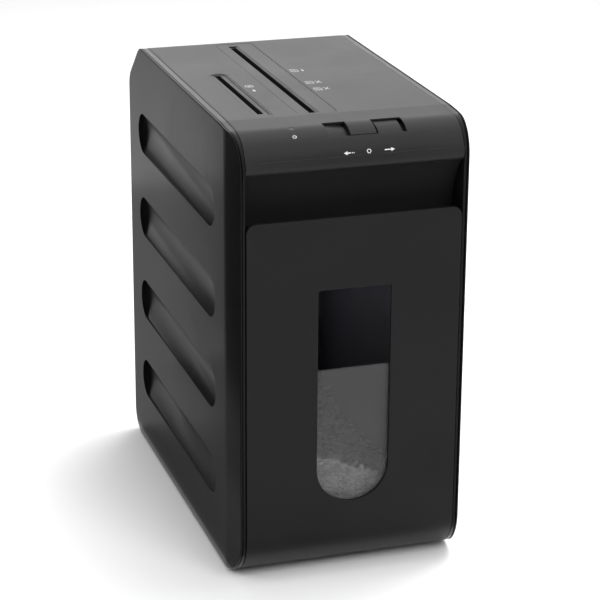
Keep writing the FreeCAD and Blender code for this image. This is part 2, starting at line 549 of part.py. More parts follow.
# ---------------------------------------------------------------- paper sensor lever
LV = (-8.0, 352.0)
lever = fuse(cyl_y(LV[0], LV[1], 2.6, 19.0, 23.0), xz_prism([(-8.0, 353.4), (-8.0, 350.8), (-25.0, 344.2), (-25.6, 346.4)], 19.6, 22.4),
             xz_prism([(-8.0, 353.2), (-8.0, 350.8), (-5.6, 356.4), (-7.6, 357.6)], 19.6, 22.4))
lever = lever.cut(cyl_y(LV[0], LV[1], 1.25, 10, 30))
put("paper_sensor_lever", lever)
put("sensor_pin", cyl_y(LV[0], LV[1], 1.2, 16.0, 26.0))

# ---------------------------------------------------------------- bin
bf = body(0.0, -BIN_HALF, BIN_HALF).cut(body(3.4, -BIN_HALF + 2.4, BIN_HALF - 2.4))
bf = bf.common(fuse(box(-90, 90, -180, -164.5, -2, BIN_TOP), box(-90, 90, -170, -134.0, -2, 3.4), box(-90, 90, -180, -149, -2, 26)))
BOSSES = [(x, z) for x in (-72, 72) for z in (60.0, 160.0, 262.0)]
bf = bf.fuse([cyl_y(x, z, 4.5, -168.9, -164.0) for x, z in BOSSES]).cut([cyl_y(x, z, 1.5, -168.8, -160) for x, z in BOSSES])
# rounded upper corners and window
cr = 7.5
corner = []
for s in (-1, 1):
    b = box(min(s * (BIN_HALF - cr), s * (BIN_HALF + 1)), max(s * (BIN_HALF - cr), s * (BIN_HALF + 1)), -180, -150, BIN_TOP - cr, BIN_TOP + 1)
    corner.append(b.cut(cyl_y(s * (BIN_HALF - cr), BIN_TOP - cr, cr, -181, -149)))
win_r = (WIN_X1 - WIN_X0) / 2.0
win_c = ((WIN_X0 + WIN_X1) / 2.0, WIN_Z0 + win_r)


def window_cut(g, y0, y1, top):
    b = box(WIN_X0 - g, WIN_X1 + g, y0, y1, win_c[1], top)
    es = [e for e in b.Edges if abs(e.BoundBox.YLength - (y1 - y0)) < 1e-6 and e.BoundBox.ZMin > top - 0.01]
    b = b.makeFillet(2.5, es)
    return fuse(b, cyl_y(win_c[0], win_c[1], win_r + g, y0, y1))


bf = bf.cut(corner + [window_cut(0, -180, -160, WIN_Z1)])
put("bin_front", bf)
pane = window_cut(3.5, -168.7, -166.5, PANE_TOP).common(box(-60, 60, -170, -160, 50, PANE_TOP))
put("bin_window", pane)

tub_o = box(-TUB_HALF, TUB_HALF, -163.9, 143.0, 4.2, TUB_TOP)
es = [e for e in tub_o.Edges if e.BoundBox.XLength > 100 and e.BoundBox.YMax < -160 and e.BoundBox.ZMax < 10]
tub_o = tub_o.makeFillet(30.0, es)
tub_i = box(-TUB_HALF + 2.2, TUB_HALF - 2.2, -161.7, 140.8, 6.4, TUB_TOP + 5)
es = [e for e in tub_i.Edges if e.BoundBox.XLength > 100 and e.BoundBox.YMax < -160 and e.BoundBox.ZMax < 10]
tub_i = tub_i.makeFillet(27.8, es)
lip = fuse(box(-TUB_HALF - 1.6, TUB_HALF + 1.6, -163.9, 144.6, TUB_TOP - 3, TUB_TOP))
run = [box(min(s * 80.0, s * 83.4), max(s * 80.0, s * 83.4), -150, 143, 250.5, 254.4) for s in (-1, 1)]
tub = tub_o.fuse([lip] + run).cut([tub_i, window_cut(5.5, -170, -158, WIN_Z1 + 6)] + [cyl_y(x, z, 1.5, -170, -158) for x, z in BOSSES]).removeSplitter()
put("bin_tub", tub)
put("bin_front_screws", [fuse(cyl_y(x, z, 1.5, -168.8, -161.7), cyl_y(x, z, 2.9, -161.7, -160.0)) for x, z in BOSSES])
put("interlock_tab", box(62.0, 76.0, 143.0, 146.05, 262.0, 279.0))

# ---------------------------------------------------------------- mode switch slider
sl = band(-142.0, 45.0, 4.4, 5.6, -38.0, 62.5)
cap = band(-144.0, 51.6, -0.3, 5.6, CAP_X0, CAP_X1)
right_floor = band(-142.0, 45.0, 1.65, 4.4, CAP_X1 + 2.2, 41.2)
ramp = band(-142.0, 45.0, 1.7, 4.4, -38.0, CAP_X0 - 1.6)
# the ramp's upper side falls towards the cap
steps = []
n = 9
for i in range(n):
    xa = -19.0 + (CAP_X0 - 1.6 + 19.0) * i / n
    xb = -19.0 + (CAP_X0 - 1.6 + 19.0) * (i + 1) / n
    steps.append(band(-142.5, 44.0, 0.5, 1.7 + 1.7 * (i + 1) / n, xa, xb))
ramp = ramp.cut(steps)
slider = fuse(sl, cap, right_floor, ramp, box(6.0, 12.0, -150.0, -136.0, 356.0, 366.2).common(body(5.0, 0, 20)))
put("mode_switch_cap", slider)

print(len(OUT), "nodes", sum(v[0] for v in OUT.values()), "solids")
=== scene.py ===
import math
import random

import bpy
import bmesh
from mathutils import Matrix, Vector


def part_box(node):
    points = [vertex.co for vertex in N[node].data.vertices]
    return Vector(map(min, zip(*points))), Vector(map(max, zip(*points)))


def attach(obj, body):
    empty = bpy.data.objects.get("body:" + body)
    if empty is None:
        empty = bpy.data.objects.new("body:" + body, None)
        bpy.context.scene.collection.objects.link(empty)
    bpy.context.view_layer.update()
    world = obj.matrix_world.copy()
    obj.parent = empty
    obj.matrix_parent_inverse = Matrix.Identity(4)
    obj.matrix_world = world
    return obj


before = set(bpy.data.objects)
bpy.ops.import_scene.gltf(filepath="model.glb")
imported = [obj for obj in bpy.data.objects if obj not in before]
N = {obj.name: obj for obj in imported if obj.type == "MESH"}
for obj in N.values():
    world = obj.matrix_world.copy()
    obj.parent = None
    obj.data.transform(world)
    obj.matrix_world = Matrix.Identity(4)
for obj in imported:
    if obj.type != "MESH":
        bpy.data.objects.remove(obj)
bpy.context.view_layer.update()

LIFT = 2.0                       # mm, height of the feet
FRONT_Y, R_TOP, SLOPE = -172.2, 28.0, math.radians(3.0)
TOP_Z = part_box("left_side_panel")[1].z * 1000.0
YC = FRONT_Y + R_TOP
ZC = TOP_Z - (-121.0 - YC) * math.tan(SLOPE) - R_TOP / math.cos(SLOPE)


# ------------------------------------------------------------------ camera
cam_data = bpy.data.cameras.new("view_camera")
cam = bpy.data.objects.new("view_camera", cam_data)
bpy.context.scene.collection.objects.link(cam)
cam_data.lens = 133.1
cam_data.sensor_width = 36.0
cam_data.clip_start, cam_data.clip_end = 0.05, 60.0
right = Vector((0.952632, -0.304060, 0.006349))
up = Vector((0.098024, 0.326741, 0.940017))
back = Vector((-0.287896, -0.894867, 0.341069))
cam.matrix_world = Matrix((
    (right.x, up.x, back.x, -0.53988),
    (right.y, up.y, back.y, -1.71077),
    (right.z, up.z, back.z, 0.82579 + LIFT / 1000.0),
    (0, 0, 0, 1)))
bpy.context.scene.camera = cam
bpy.context.scene.view_settings.view_transform = "Standard"


# ------------------------------------------------------------------ material helpers
def new_mat(name):
    m = bpy.data.materials.new(name)
    m.use_nodes = True
    nt = m.node_tree
    nt.nodes.clear()
    out = nt.nodes.new("ShaderNodeOutputMaterial")
    bsdf = nt.nodes.new("ShaderNodeBsdfPrincipled")
    nt.links.new(bsdf.outputs[0], out.inputs[0])
    return m, nt, bsdf


def node(nt, kind, **kw):
    n = nt.nodes.new(kind)
    for k, v in kw.items():
        if k.startswith("in_"):
            n.inputs[k[3:].replace("_", " ")].default_value = v
        else:
            setattr(n, k, v)
    return n


def noise(nt, vec, scale, detail=3.0, rough=0.5, dist=0.0):
    n = nt.nodes.new("ShaderNodeTexNoise")
    n.inputs["Scale"].default_value = scale
    n.inputs["Detail"].default_value = detail
    n.inputs["Roughness"].default_value = rough
    n.inputs["Distortion"].default_value = dist
    nt.links.new(vec, n.inputs["Vector"])
    return n.outputs["Fac"]


def remap(nt, val, a, b, c, d):
    n = nt.nodes.new("ShaderNodeMapRange")
    n.inputs["From Min"].default_value = a
    n.inputs["From Max"].default_value = b
    n.inputs["To Min"].default_value = c
    n.inputs["To Max"].default_value = d
    nt.links.new(val, n.inputs["Value"])
    return n.outputs["Result"]


def ramp(nt, val, stops):
    n = nt.nodes.new("ShaderNodeValToRGB")
    e = n.color_ramp.elements
    while len(e) < len(stops):
        e.new(0.5)
    for i, (p, c) in enumerate(stops):
        e[i].position = p
        e[i].color = (c[0], c[1], c[2], 1.0)
    nt.links.new(val, n.inputs["Fac"])
    return n.outputs["Color"]


def mix_col(nt, fac, a, b):
    n = nt.nodes.new("ShaderNodeMix")
    n.data_type = "RGBA"
    if hasattr(fac, "node"):
        nt.links.new(fac, n.inputs[0])
    else:
        n.inputs[0].default_value = fac
    for sock, v in ((n.inputs[6], a), (n.inputs[7], b)):
        if hasattr(v, "node"):
            nt.links.new(v, sock)
        else:
            sock.default_value = (v[0], v[1], v[2], 1.0)
    return n.outputs[2]


def math_node(nt, op, a, b=None):
    n = nt.nodes.new("ShaderNodeMath")
    n.operation = op
    for i, v in enumerate((a, b)):
        if v is None:
            continue
        if hasattr(v, "node"):
            nt.links.new(v, n.inputs[i])
        else:
            n.inputs[i].default_value = v
    return n.outputs[0]


def coords(nt, scale=(1, 1, 1), rot=(0, 0, 0)):
    tc = nt.nodes.new("ShaderNodeTexCoord")
    mp = nt.nodes.new("ShaderNodeMapping")
    mp.inputs["Scale"].default_value = scale
    mp.inputs["Rotation"].default_value = rot
    nt.links.new(tc.outputs["Object"], mp.inputs["Vector"])
    return mp.outputs["Vector"]


def moulded(name, base, rough, grain=1500.0, bump=0.16, spread=0.10, spec=0.5, edge=0.0006, scuff=0.5, tint=None):
    """Injection-moulded plastic: spark-eroded grain, uneven gloss, slight sink marks, rubbed edges and a few hairline scuffs."""
    m, nt, b = new_mat(name)
    v = coords(nt)
    fine = noise(nt, v, grain, 4.0, 0.62)
    blot = noise(nt, v, 14.0, 4.0, 0.55, 0.4)
    mid = noise(nt, v, 190.0, 3.0, 0.5)
    # hairline scuffs: thin stretched noise, only where a patch mask allows it
    vs = coords(nt, (22.0, 640.0, 90.0), (0.3, 0.2, 0.5))
    hair = noise(nt, vs, 3.0, 2.0, 0.6)
    patch = noise(nt, v, 11.0, 2.0, 0.5, 0.8)
    hair_m = math_node(nt, "MULTIPLY", remap(nt, hair, 0.66, 0.72, 0.0, 1.0), remap(nt, patch, 0.52, 0.68, 0.0, 1.0))
    # rubbed edges: where a rounded normal leaves the flat one
    bev = nt.nodes.new("ShaderNodeBevel")
    bev.samples = 4
    bev.inputs["Radius"].default_value = edge
    geo = nt.nodes.new("ShaderNodeNewGeometry")
    dot = nt.nodes.new("ShaderNodeVectorMath")
    dot.operation = "DOT_PRODUCT"
    nt.links.new(bev.outputs["Normal"], dot.inputs[0])
    nt.links.new(geo.outputs["Normal"], dot.inputs[1])
    wear = math_node(nt, "MULTIPLY", remap(nt, dot.outputs["Value"], 0.995, 0.90, 0.0, 1.0), remap(nt, mid, 0.38, 0.66, 0.15, 1.0))
    tint = tint or base
    col = mix_col(nt, remap(nt, blot, 0.3, 0.7, 0.0, 1.0), base, tint)
    col = mix_col(nt, remap(nt, fine, 0.35, 0.75, 0.0, 0.35), col, tuple(min(1.0, c * 1.9 + 0.004) for c in base))
    light = tuple(min(1.0, c * 2.2 + 0.012) for c in base)
    col = mix_col(nt, math_node(nt, "MULTIPLY", hair_m, 0.30 * scuff), col, light)
    col = mix_col(nt, math_node(nt, "MULTIPLY", wear, 0.45), col, light)
    nt.links.new(col, b.inputs["Base Color"])
    r = math_node(nt, "ADD", remap(nt, blot, 0.25, 0.75, rough - spread / 2, rough + spread / 2),
                  remap(nt, fine, 0.3, 0.7, -0.035, 0.035))
    r = math_node(nt, "SUBTRACT", r, math_node(nt, "MULTIPLY", wear, 0.10))
    r = math_node(nt, "ADD", r, math_node(nt, "MULTIPLY", hair_m, 0.10 * scuff))
    nt.links.new(r, b.inputs["Roughness"])
    b.inputs["IOR"].default_value = 1.5
    b.inputs["Specular IOR Level"].default_value = spec
    bp = nt.nodes.new("ShaderNodeBump")
    bp.inputs["Strength"].default_value = bump
    bp.inputs["Distance"].default_value = 0.00012
    nt.links.new(fine, bp.inputs["Height"])
    nt.links.new(bev.outputs["Normal"], bp.inputs["Normal"])
    b2 = nt.nodes.new("ShaderNodeBump")
    b2.inputs["Strength"].default_value = 0.05
    b2.inputs["Distance"].default_value = 0.002
    nt.links.new(blot, b2.inputs["Height"])
    nt.links.new(bp.outputs["Normal"], b2.inputs["Normal"])
    nt.links.new(b2.outputs["Normal"], b.inputs["Normal"])
    return m


def metal(name, base, rough, stretch=(1, 1, 1), scale=60.0, bump=0.12, dirt=(0.05, 0.045, 0.04), dirt_amt=0.35, edge=0.0003):
    """Machined or plated metal: directional tool marks, cloudy plating, grime in patches."""
    m, nt, b = new_mat(name)
    v = coords(nt)
    lay = noise(nt, coords(nt, stretch), scale, 4.0, 0.65)
    cloud = noise(nt, v, 55.0, 4.0, 0.6, 0.6)
    spot = noise(nt, v, 420.0, 2.0, 0.5)
    c1 = mix_col(nt, remap(nt, cloud, 0.3, 0.7, 0.0, 1.0), tuple(c * 0.82 for c in base), base)
    c2 = mix_col(nt, math_node(nt, "MULTIPLY", remap(nt, cloud, 0.52, 0.66, 0.0, 1.0), dirt_amt), c1, dirt)
    c3 = mix_col(nt, remap(nt, spot, 0.60, 0.72, 0.0, 0.35), c2, tuple(c * 0.55 for c in base))
    nt.links.new(c3, b.inputs["Base Color"])
    b.inputs["Metallic"].default_value = 1.0
    r = math_node(nt, "ADD", remap(nt, lay, 0.3, 0.7, rough - 0.08, rough + 0.08), remap(nt, cloud, 0.5, 0.7, 0.0, 0.14))
    nt.links.new(r, b.inputs["Roughness"])
    bev = nt.nodes.new("ShaderNodeBevel")
    bev.samples = 4
    bev.inputs["Radius"].default_value = edge
    bp = nt.nodes.new("ShaderNodeBump")
    bp.inputs["Strength"].default_value = bump
    bp.inputs["Distance"].default_value = 0.0001
    nt.links.new(lay, bp.inputs["Height"])
    nt.links.new(bev.outputs["Normal"], bp.inputs["Normal"])
    nt.links.new(bp.outputs["Normal"], b.inputs["Normal"])
    return m


def assign(m, *names):
    for n in names:
        o = N[n]
        o.data.materials.clear()
        o.data.materials.append(m)


# ------------------------------------------------------------------ materials
ABS_SIDE = moulded("abs_side", (0.0040, 0.0040, 0.0042), 0.21, 1700, 0.06, 0.05, 0.36, tint=(0.0052, 0.0051, 0.0051))
ABS_TOP = moulded("abs_top", (0.0145, 0.0145, 0.0150), 0.36, 1500, 0.14, 0.06, 0.45, tint=(0.0165, 0.0165, 0.0165))
ABS_FRONT = moulded("abs_front", (0.0092, 0.0088, 0.0091), 0.42, 1600, 0.14, 0.06, 0.34, tint=(0.0115, 0.0112, 0.0114))
ABS_DARK = moulded("abs_recess", (0.0095, 0.0092, 0.0094), 0.48, 1500, 0.18, 0.08, 0.40)
ABS_INNER = moulded("abs_inner", (0.020, 0.020, 0.021), 0.52, 900, 0.20, 0.12, 0.45)
TUB = moulded("tub_plastic", (0.125, 0.125, 0.142), 0.42, 700, 0.12, 0.12, 0.5, tint=(0.150, 0.150, 0.170))
SWITCH = moulded("switch_plastic", (0.0125, 0.0125, 0.0130), 0.40, 2200, 0.10, 0.06, 0.5, edge=0.0005, scuff=1.0)
NYLON = moulded("nylon_natural", (0.62, 0.59, 0.50), 0.42, 500, 0.10, 0.12, 0.5, tint=(0.70, 0.67, 0.58))
RUBBER = moulded("foot_rubber", (0.016, 0.016, 0.016), 0.80, 900, 0.35, 0.10, 0.3)
PARTS = moulded("parts_plastic", (0.028, 0.028, 0.030), 0.50, 800, 0.18, 0.12, 0.5)
ZINC = metal("zinc_plate", (0.60, 0.61, 0.62), 0.34, (1, 1, 1), 140.0, 0.10, (0.20, 0.19, 0.17), 0.25)
STEEL = metal("ground_steel", (0.46, 0.46, 0.47), 0.26, (1.0, 9.0, 1.0), 260.0, 0.22, (0.06, 0.045, 0.03), 0.45)
SINTER = metal("sintered_steel", (0.34, 0.33, 0.33), 0.42, (1, 1, 1), 900.0, 0.30, (0.05, 0.035, 0.02), 0.55)
BRONZE = metal("bronze_bush", (0.58, 0.40, 0.19), 0.38, (1, 1, 1), 700.0, 0.25, (0.10, 0.06, 0.03), 0.4)
COPPER = metal("copper_winding", (0.70, 0.33, 0.18), 0.30, (1.0, 12.0, 1.0), 300.0, 0.55, (0.12, 0.05, 0.03), 0.4)
CAN = metal("motor_can_steel", (0.40, 0.41, 0.42), 0.36, (1.0, 1.0, 8.0), 120.0, 0.14, (0.12, 0.11, 0.10), 0.3)


def window_material():
    """Smoke-tinted clear plastic with fine surface haze and dust from paper."""
    m, nt, b = new_mat("smoke_window")
    v = coords(nt)
    haze = noise(nt, v, 30.0, 4.0, 0.6, 0.5)
    speck = noise(nt, v, 1300.0, 2.0, 0.5)
    fine = noise(nt, coords(nt, (60.0, 1.0, 900.0)), 2.0, 2.0, 0.5)
    tc = nt.nodes.new("ShaderNodeTexCoord")
    sep = nt.nodes.new("ShaderNodeSeparateXYZ")
    nt.links.new(tc.outputs["Object"], sep.inputs[0])
    low = remap(nt, sep.outputs["Z"], 0.060, 0.185, 0.55, 0.0)
    dust = math_node(nt, "MULTIPLY", remap(nt, speck, 0.55, 0.72, 0.0, 1.0), low)
    col = mix_col(nt, remap(nt, haze, 0.3, 0.7, 0.0, 1.0), (0.098, 0.096, 0.097), (0.112, 0.110, 0.111))
    col = mix_col(nt, math_node(nt, "MULTIPLY", dust, 0.10), col, (0.45, 0.45, 0.44))
    nt.links.new(col, b.inputs["Base Color"])
    b.inputs["Alpha"].default_value = 0.40
    b.inputs["IOR"].default_value = 1.49
    r = math_node(nt, "ADD", remap(nt, haze, 0.3, 0.7, 0.13, 0.20), math_node(nt, "MULTIPLY", dust, 0.25))
    nt.links.new(r, b.inputs["Roughness"])
    bp = nt.nodes.new("ShaderNodeBump")
    bp.inputs["Strength"].default_value = 0.03
    bp.inputs["Distance"].default_value = 0.0001
    nt.links.new(fine, bp.inputs["Height"])
    nt.links.new(bp.outputs["Normal"], b.inputs["Normal"])
    return m


def led_material():
    m, nt, b = new_mat("led_lens")
    v = coords(nt)
    n1 = noise(nt, v, 1800.0, 3.0, 0.6)
    nt.links.new(mix_col(nt, n1, (0.010, 0.012, 0.010), (0.022, 0.026, 0.022)), b.inputs["Base Color"])
    nt.links.new(remap(nt, n1, 0.3, 0.7, 0.10, 0.22), b.inputs["Roughness"])
    b.inputs["Coat Weight"].default_value = 0.5
    return m


def pcb_material():
    m, nt, b = new_mat("circuit_board")
    tc = nt.nodes.new("ShaderNodeTexCoord")
    br = nt.nodes.new("ShaderNodeTexBrick")
    br.inputs["Scale"].default_value = 160.0
    br.inputs["Mortar Size"].default_value = 0.035
    br.inputs["Color1"].default_value = (0.012, 0.075, 0.030, 1)
    br.inputs["Color2"].default_value = (0.016, 0.100, 0.040, 1)
    br.inputs["Mortar"].default_value = (0.030, 0.190, 0.070, 1)
    nt.links.new(tc.outputs["Object"], br.inputs["Vector"])
    vo = nt.nodes.new("ShaderNodeTexVoronoi")
    vo.inputs["Scale"].default_value = 240.0
    nt.links.new(tc.outputs["Object"], vo.inputs["Vector"])
    pad = remap(nt, vo.outputs["Distance"], 0.16, 0.12, 0.0, 1.0)
    col = mix_col(nt, pad, br.outputs["Color"], (0.70, 0.68, 0.62))
    nt.links.new(col, b.inputs["Base Color"])
    nt.links.new(remap(nt, pad, 0.0, 1.0, 0.30, 0.22), b.inputs["Roughness"])
    nt.links.new(pad, b.inputs["Metallic"])
    return m


def paper_material(name, base, dark):
    m, nt, b = new_mat(name)
    v = coords(nt)
    fib = noise(nt, v, 2600.0, 4.0, 0.7)
    ink = noise(nt, coords(nt, (900.0, 900.0, 900.0)), 1.0, 2.0, 0.5)
    patch = noise(nt, v, 90.0, 3.0, 0.6)
    col = mix_col(nt, remap(nt, fib, 0.3, 0.7, 0.0, 0.4), base, dark)
    text = math_node(nt, "MULTIPLY", remap(nt, ink, 0.60, 0.66, 0.0, 1.0), remap(nt, patch, 0.50, 0.56, 0.0, 0.7))
    col = mix_col(nt, text, col, (0.10, 0.10, 0.11))
    nt.links.new(col, b.inputs["Base Color"])
    nt.links.new(remap(nt, fib, 0.3, 0.7, 0.72, 0.92), b.inputs["Roughness"])
    bp = nt.nodes.new("ShaderNodeBump")
    bp.inputs["Strength"].default_value = 0.25
    bp.inputs["Distance"].default_value = 0.0001
    nt.links.new(fib, bp.inputs["Height"])
    nt.links.new(bp.outputs["Normal"], b.inputs["Normal"])
    return m


def ink_material():
    m, nt, b = new_mat("pad_print_ink")
    v = coords(nt)
    n1 = noise(nt, v, 3500.0, 3.0, 0.6)
    n2 = noise(nt, v, 700.0, 2.0, 0.5)
    nt.links.new(mix_col(nt, remap(nt, n2, 0.35, 0.65, 0.0, 1.0), (0.62, 0.62, 0.61), (0.80, 0.80, 0.79)), b.inputs["Base Color"])
    nt.links.new(remap(nt, n1, 0.3, 0.7, 0.42, 0.62), b.inputs["Roughness"])
    return m


WINDOW, LED_M, PCB = window_material(), led_material(), pcb_material()
PAPER_A = paper_material("shred_paper_white", (0.90, 0.90, 0.89), (0.76, 0.76, 0.75))
# PAPER_B is a darker, cooler copy of the white shred paper: painted shade, the paper as it looks in shade
PAPER_B = paper_material("shred_paper_shade", (0.66, 0.67, 0.68), (0.54, 0.55, 0.56))
INK = ink_material()

assign(ABS_SIDE, "left_side_panel", "right_side_panel", "left_side_frame", "right_side_frame")
assign(ABS_TOP, "top_cover", "paper_slot_plate", "cd_slot_bezel")
assign(ABS_FRONT, "bin_front")
assign(ABS_DARK, "grip_recess_panel", "rear_cover", "base_plate")
assign(ABS_INNER, "bin_rails", "feed_throat", "left_scraper_comb", "right_scraper_comb", "motor_end_cap")
assign(TUB, "bin_tub", "interlock_tab")
assign(SWITCH, "mode_switch_cap")
assign(WINDOW, "bin_window")
assign(LED_M, "led_lens")
assign(PCB, "control_board")
assign(PARTS, "board_components", "mode_switch_body", "interlock_switch", "paper_sensor_lever")
assign(NYLON, "first_reduction_gear", "board_supports", "interlock_plunger")
assign(RUBBER, "rubber_feet", "cable_gland")
assign(ZINC, "head_chassis", "front_cutter_plate", "rear_cutter_plate", "tie_rods_and_nuts", "gearbox_plate", "gearbox_posts",
       "gear_pins", "mode_switch_bracket", "interlock_bracket", "sensor_pin", "foot_screws", "rear_cover_screws",
       "motor_screws", "bin_front_screws", "left_cutter_spacers", "right_cutter_spacers")
assign(STEEL, "left_cutter_discs", "right_cutter_discs", "left_cutter_shaft", "right_cutter_shaft", "motor_shaft", "motor_pinion")
assign(SINTER, "left_cutter_gear", "right_cutter_gear", "second_reduction_gear")
assign(BRONZE, "cutter_bushes")
assign(COPPER, "motor_rotor")
assign(CAN, "motor_can")


# ------------------------------------------------------------------ printed marks (generic symbols only)
class Print:
    """Collects thin raised ink shapes in a local plane (mm) and makes one mesh of them."""

    def __init__(self, name, origin, u, v):
        self.bm = bmesh.new()
        self.name, self.o, self.u, self.v = name, Vector(origin), Vector(u).normalized(), Vector(v).normalized()
        self.n = self.u.cross(self.v).normalized()

    def pt(self, a, b, h=0.0):
        return (self.o + self.u * a + self.v * b + self.n * h) / 1000.0

    def poly(self, pts):
        lo = [self.bm.verts.new(self.pt(a, b, 0.0)) for a, b in pts]
        hi = [self.bm.verts.new(self.pt(a, b, 0.035)) for a, b in pts]
        self.bm.faces.new(hi)
        for i in range(len(pts)):
            j = (i + 1) % len(pts)
            self.bm.faces.new((lo[i], lo[j], hi[j], hi[i]))

    def bar(self, p, q, w):
        d = Vector((q[0] - p[0], q[1] - p[1])).normalized()
        s = Vector((-d.y, d.x)) * w / 2
        self.poly([(p[0] - s.x, p[1] - s.y), (q[0] - s.x, q[1] - s.y), (q[0] + s.x, q[1] + s.y), (p[0] + s.x, p[1] + s.y)])

    def ring(self, c, r0, r1, a0=0.0, a1=360.0, k=28):
        for i in range(k):
            t0, t1 = (math.radians(a0 + (a1 - a0) * (i + e) / k) for e in (0, 1))
            self.poly([(c[0] + r1 * math.cos(t0), c[1] + r1 * math.sin(t0)), (c[0] + r1 * math.cos(t1), c[1] + r1 * math.sin(t1)),
                       (c[0] + r0 * math.cos(t1), c[1] + r0 * math.sin(t1)), (c[0] + r0 * math.cos(t0), c[1] + r0 * math.sin(t0))])

    def done(self, body="housing"):
        bmesh.ops.remove_doubles(self.bm, verts=self.bm.verts, dist=1e-7)
        bmesh.ops.recalc_face_normals(self.bm, faces=self.bm.faces)
        me = bpy.data.meshes.new(self.name)
        self.bm.to_mesh(me)
        self.bm.free()
        ob = bpy.data.objects.new(self.name, me)
        bpy.context.scene.collection.objects.link(ob)
        me.materials.append(INK)
        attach(ob, body)
        return ob


def on_arc(x, deg_above, off=0.02):
    """Origin and axes on the curved front, deg_above is the angle above the horizontal."""
    a = math.radians(180 - deg_above)
    n = Vector((0, math.cos(a), math.sin(a)))
    p = Vector((x, YC, ZC)) + n * (R_TOP + off)
    return p, Vector((1, 0, 0)), n.cross(Vector((1, 0, 0)))


# arrows and ring beside the three switch positions, and the power symbol
p = Print("mark_reverse", *on_arc(-5.6, 22.0))
p.poly([(-4.2, 0), (-1.2, 1.55), (-1.2, -1.55)])
p.bar((-1.3, 0), (1.4, 0), 0.85)
p.bar((2.2, 0), (3.0, 0), 0.85)
p.bar((3.7, 0), (4.2, 0), 0.85)
p.done()
p = Print("mark_off", *on_arc(10.6, 22.6))
p.ring((0, 0), 1.15, 1.75)
p.done()
p = Print("mark_forward", *on_arc(27.4, 22.6))
p.poly([(4.2, 0), (1.2, -1.55), (1.2, 1.55)])
p.bar((-4.2, 0), (1.3, 0), 0.85)
p.done()
p = Print("mark_power", *on_arc(-46.0, 57.0))
p.ring((0, 0), 1.1, 1.6, 125, 415)
p.bar((0, 0.5), (0, 2.0), 0.55)
p.done()
TZ = TOP_Z + 0.02


def top_print(name, x, y):
    return Print(name, (x, y, TZ), (1, 0, 0), (0, 1, 0))


# disc symbol beside the narrow slot
p = top_print("mark_disc", -42.0, -24.0)
p.ring((0, 0), 3.1, 3.6)
p.ring((0, 0), 0.7, 1.25)
p.ring((0, 0), 2.0, 2.3, 20, 75)
p.ring((0, 0), 2.0, 2.3, 200, 255)
p.done()
p = top_print("mark_disc_arrow", -42.0, -38.0)
p.poly([(0, -3.0), (-1.7, -0.4), (1.7, -0.4)])
p.bar((0, -0.5), (0, 3.0), 0.8)
p.done()
# sheet symbols beside the wide slot
for i, (x, y) in enumerate(((9.2, 16.0), (9.2, -25.5), (9.2, -47.5))):
    p = top_print("mark_sheet_%d" % (i + 1), x, y)
    w, h = 2.8, 4.0
    for a, b in (((-w, -h), (w, -h)), ((w, -h), (w, h - 1.6)), ((w, h - 1.6), (w - 1.6, h)), ((w - 1.6, h), (-w, h)), ((-w, h), (-w, -h))):
        p.bar(a, b, 0.5)
    for k in range(3):
        p.bar((-1.6, -1.8 + 1.8 * k), (1.6 - (0.8 if k == 2 else 0.0), -1.8 + 1.8 * k), 0.4)
    if i:
        p.bar((5.4, -3.4), (9.6, 3.4), 0.55)
        p.bar((5.4, 3.4), (9.6, -3.4), 0.55)
    else:
        p.poly([(7.0, -3.2), (5.6, -0.8), (8.4, -0.8)])
        p.bar((7.0, -0.9), (7.0, 3.0), 0.6)
    p.done()


# ------------------------------------------------------------------ shredded paper in the bin
def heap_height(x, y):
    """Top of the heap in mm, by place in the bin."""
    base = 83.5 - 0.50 * x + 4.0 * math.sin(x * 0.061 + 0.8) * math.cos(y * 0.043)
    base -= 0.72 * (y + 160.0) - 3.0 * math.sin(y * 0.09 + x * 0.05)
    floor = 33.0 + 7.0 * math.sin(x * 0.035 + 1.1) * math.sin(y * 0.027 + 0.6) + 16.0 * math.exp(-((x + 38) / 26.0) ** 2 - ((y - 10) / 90.0) ** 2)
    base = max(base, floor)
    return max(22.0, min(112.0, base))


